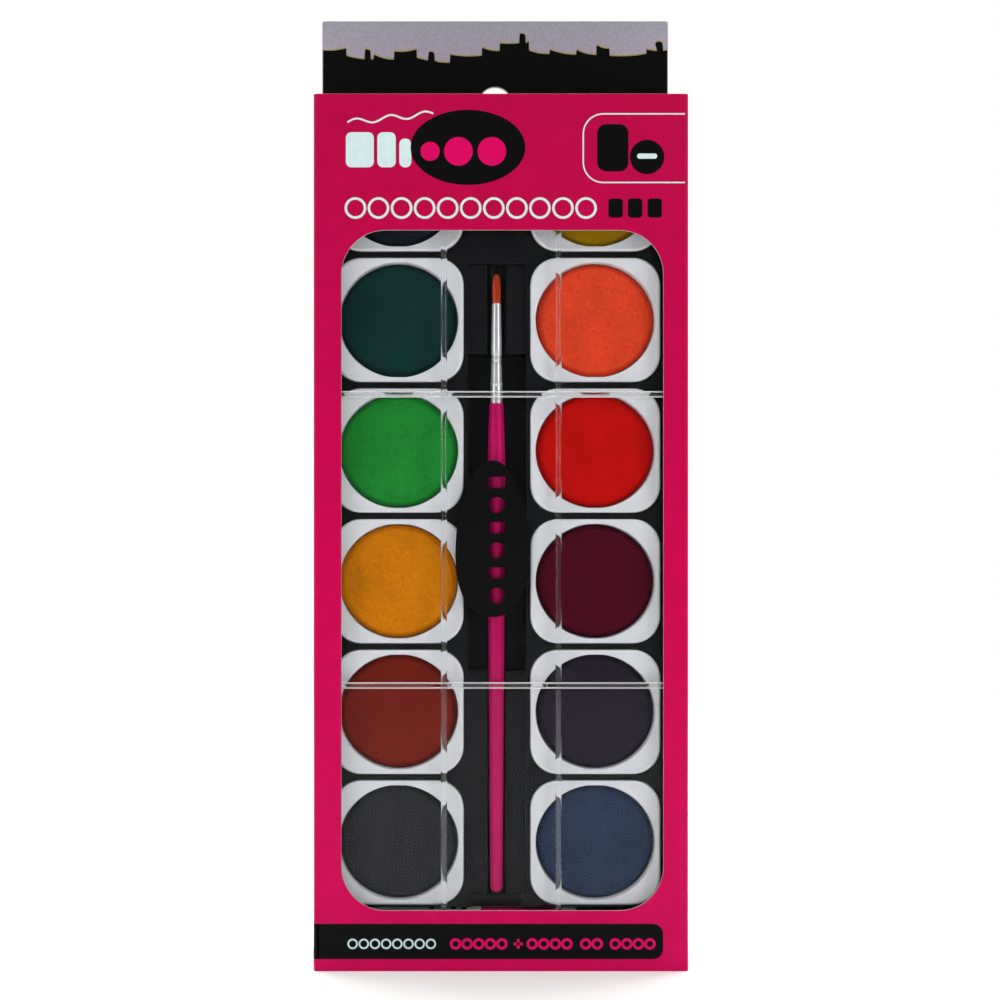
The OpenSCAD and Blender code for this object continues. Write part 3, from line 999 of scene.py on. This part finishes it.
def make_brush(lacquer, metal, hair):
    low, high = corners("brush_handle")
    mid, half = centre_and_half(low, high)
    neck, top = (corner.z for corner in corners("brush_ferrule"))
    end, shoulder, round_r = low.z, neck - 0.0007, 0.00155
    profile = [(round_r * math.sin(math.radians(a)), end + round_r * (1 - math.cos(math.radians(a))))
               for a in (4, 20, 38, 56, 74)]
    profile += smooth_profile([(round_r, end + 0.0016), (0.00168, end + 0.018), (0.0019, end + 0.050),
                               (0.0021, end + 0.080), (half.x, neck - 0.020), (0.00215, neck - 0.012),
                               (0.00188, neck - 0.004), (0.00174, shoulder)])
    profile += [(0.001, shoulder + 0.0001), (0.001, neck + 0.008)]
    finish_piece(turned("handle_turned", profile, mid.x, mid.y, 40), "front_case", lacquer,
                 "handle_lacquer", "brush_handle")

    tube_r = 0.0015
    profile = [(tube_r, shoulder), (tube_r, neck + 0.0034)]
    for up, bulge in ((0.0043, 0.00016), (0.0098, -0.00016), (0.0112, -0.00014)):
        for i in range(9):
            profile.append((tube_r - 0.0165 * up + bulge * math.sin(math.pi * i / 8),
                            neck + up - 0.0005 + 0.001 * i / 8))
    profile += [(0.00134, neck + 0.0135), (0.00114, top - 0.0003), (0.00110, top), (0.0009, top),
                (0.0009, top - 0.001), (0.00105, neck + 0.009), (0.0011, shoulder)]
    finish_piece(turned("ferrule_rolled", profile, mid.x, mid.y, 50, True), "front_case", metal,
                 "ferrule_metal", "brush_ferrule")
    make_bristles(hair, mid.x, mid.y, top, corners("brush_bristles")[1].z)


def make_bristles(hair, x, y, root, tip):
    """Separate tapering hairs: straight from the ferrule, a slight belly, drawn in to a point."""
    pick = random.Random(5)
    mesh = bmesh.new()
    length = tip - root
    for index in range(170):
        share = math.sqrt((index + 0.5) / 170)
        turn = index * 2.39996
        reach = length * (1 - 0.13 * share ** 3 * pick.uniform(0.4, 1.0))
        rings = []
        for i in range(8):
            t = i / 7
            along = -0.0012 + (reach + 0.0012) * t
            level = max(0, along) / length
            spread = 0.00084 + 0.00016 * math.sin(math.pi / 2 * min(1, level * 4))
            spread *= 1 - 0.3 * level ** 4
            cx = x + share * spread * math.cos(turn + 0.25 * t)
            cy = y + share * spread * math.sin(turn + 0.25 * t)
            thick = 0.00007 * (1 - 0.85 * t)
            rings.append([(cx + px, cy + py, root + along) for px, py in disc(thick, 5)])
        loft(mesh, rings)
    finish_piece(new_object("bristle_tuft", mesh, 60), "front_case", hair, "bristle_hair",
                 "brush_bristles")


# ---------------------------------------------------------------- tube of paint

def make_tube(white, band, dark, cap_plastic):
    """Soft tube, flat at its crimp and round at its shoulder, with a printed band and marks."""
    low, high = corners("tube_body")
    mid, half = centre_and_half(low, high)
    length = high.x - low.x

    def depth_at(t):
        return 0.0005 + (half.y - 0.0005) * math.sin(math.pi / 2 * min(1, t / 0.55))

    rings = []
    for t in (0, 0.03, 0.07, 0.12, 0.18, 0.25, 0.32, 0.40, 0.48, 0.52, 0.58, 0.66, 0.76, 0.86,
              0.93, 0.97, 1.0):
        tall = half.z - 0.0001 - 0.0004 * math.sin(math.pi * t)
        shrink = 1 if t < 0.95 else 1 - (t - 0.95) * 1.2
        ring = []
        for across, up in disc(1, 56):
            dent = min(0, 0.00012 * noise.noise(Vector((t * 9, across * 2, up * 2))))
            ring.append((low.x + length * t, mid.y + (depth_at(t) * shrink + dent) * across,
                         mid.z + (tall * shrink + dent) * up))
        rings.append(ring)
    tube = lofted("tube_soft_body", rings, 40)
    tube.data.materials.append(white)
    tube.data.materials.append(band)
    for face in tube.data.polygons:
        face.material_index = 1 if 0.52 < (face.center.x - low.x) / length < 0.93 else 0
    finish_piece(tube, "front_case", None, "tube_laminate", "tube_body")

    mesh = bmesh.new()
    for i in range(4):
        t = 0.27 + 0.055 * i
        depth, tall = depth_at(t) + 0.00002, half.z - 0.0003
        for k in range(5):
            a = math.radians(180 + (k - 3) * 24)
            centre = Vector((low.x + length * t, mid.y + depth * math.cos(a), mid.z + tall * math.sin(a)))
            out = Vector((0, math.cos(a) / depth, math.sin(a) / tall)).normalized()
            along = Vector((1, 0, 0)) * (0.0009 if k % 2 else 0.0006)
            across = out.cross(Vector((1, 0, 0))) * 0.00028
            ring = [centre + along * px + across * pz for px, pz in ((-1, -1), (1, -1), (1, 1), (-1, 1))]
            loft(mesh, [[p - out * 0.0001 for p in ring], [p + out * 0.00004 for p in ring]])
    finish_piece(new_object("tube_print_marks", mesh), "front_case", dark, "tube_laminate")

    low, high = corners("tube_crimp")
    crimp_half = (high - low) / 2
    rings, folds = [], 14
    for i in range(folds + 1):
        x = low.x + (high.x - low.x) * i / folds
        thick = crimp_half.y * (0.62 if i % 2 else 0.95)
        rings.append([(x, mid.y + thick * sy, mid.z + crimp_half.z * sz)
                      for sy, sz in ((-1, -1), (1, -1), (1, 1), (-1, 1))])
    finish_piece(lofted("tube_crimped_end", rings, 20), "front_case", white, "tube_laminate",
                 "tube_crimp")
    make_tube_cap(cap_plastic)


def make_tube_cap(plastic):
    """Ribbed screw cap, hollow at its open end."""
    low, high = corners("tube_cap")
    mid, half = centre_and_half(low, high)
    radius, bore, end, mouth = half.z, 0.00252, high.x, low.x
    ribs, per_rib = 18, 6

    def ring(x, r, ribbed=False):
        points = []
        for i, (across, up) in enumerate(disc(1, ribs * per_rib)):
            groove = 0.00028 * (1 - abs(math.sin(math.pi * i / per_rib)) ** 0.6) if ribbed else 0
            points.append((x, mid.y + (r - groove) * across, mid.z + (r - groove) * up))
        return points

    rings = [ring(end - 0.003, bore), ring(mouth, bore), ring(mouth, radius - 0.0003),
             ring(mouth + 0.0003, radius), ring(mouth + 0.001, radius),
             ring(mouth + 0.0013, radius, True), ring(end - 0.0008, radius - 0.0001, True),
             ring(end - 0.0004, radius - 0.0003), ring(end - 0.0001, radius - 0.0007),
             ring(end, radius - 0.0011), ring(end - 0.0002, radius - 0.0016)]
    finish_piece(lofted("cap_ribbed", rings, 35), "cap", plastic, "cap_plastic", "tube_cap")


# ---------------------------------------------------------------- nodes that stay as they are

def dress_node(node, material, bevel=None):
    piece = frame["nodes"][node]
    piece.data.materials.clear()
    piece.data.materials.append(material)
    if bevel:
        add_bevel(piece, bevel, 50)


# ---------------------------------------------------------------- all of it

make_camera()
make_studio()
make_floor()

carton_ink_shaded = carton_print_shaded_material()
board_core = core_material()
black_ink = ink_material("ink_black", (0.003, 0.003, 0.0033))
white_ink = ink_material("ink_pale", (0.56, 0.70, 0.70))
pink_ink = ink_material("ink_pink", (0.60, 0.002, 0.10))
edge_ink = ink_material("ink_straw", (0.34, 0.30, 0.10))
plain_pink = board_material("board_pink", (0.53, 0.001, 0.07))
tray_black = plastic_material("tray_black", (0.006, 0.006, 0.007), 0.4, 0.15, 700, 0.06, 0.12)
pan_white = plastic_material("pan_white", (0.74, 0.75, 0.77), 0.33, 0.02, 500, 0.04)
lid_sheet = clear_material("lid_clear", 0.08)
lid_cut_edge = cut_edge_material()
lid_ribs = rib_material()
lid_rib_glints = rib_glint_material()
label_film = plastic_material("label_film", (0.003, 0.003, 0.0035), 0.3, 0.1, 500, 0.03, 0.08)
handle_lacquer = lacquer_material("handle_lacquer", (0.50, 0.001, 0.105))
ferrule_metal = metal_material("ferrule_metal", (0.72, 0.72, 0.74), 0.22)
bristle_hair = hair_material()
tube_white = plastic_material("tube_white", (0.78, 0.79, 0.78), 0.3, 0.03, 500, 0.04)
tube_band = plastic_material("tube_band", (0.42, 0.006, 0.10), 0.3, 0.05, 500, 0.04)
cap_white = plastic_material("cap_white", (0.8, 0.8, 0.8), 0.35, 0.03, 600, 0.05)

make_carton(carton_ink_shaded, board_core)
make_header(sky_material(), plain_pink, board_core)
make_crease(plain_pink)
make_front_print(black_ink, white_ink, pink_ink)
make_header_print(black_ink, edge_ink)
make_pans(pan_white)
make_cakes()
make_rear_set(pan_white)
for node, body in (("front_lid", "front_cover"), ("rear_lid", "rear_cover")):
    make_lid(node, body, lid_sheet, lid_cut_edge, lid_ribs, lid_rib_glints)
make_label(label_film)
make_brush(handle_lacquer, ferrule_metal, bristle_hair)
make_tube(tube_white, tube_band, black_ink, cap_white)

for node in ("front_tray", "rear_tray"):
    dress_node(node, tray_black)
for node in ("bottom_flap", "bottom_tongue"):
    dress_node(node, plain_pink, 0.0001)
for node in ("left_dust_flap", "right_dust_flap", "glue_flap"):
    dress_node(node, board_core, 0.0001)
dress_node("tube_nozzle", cap_white)
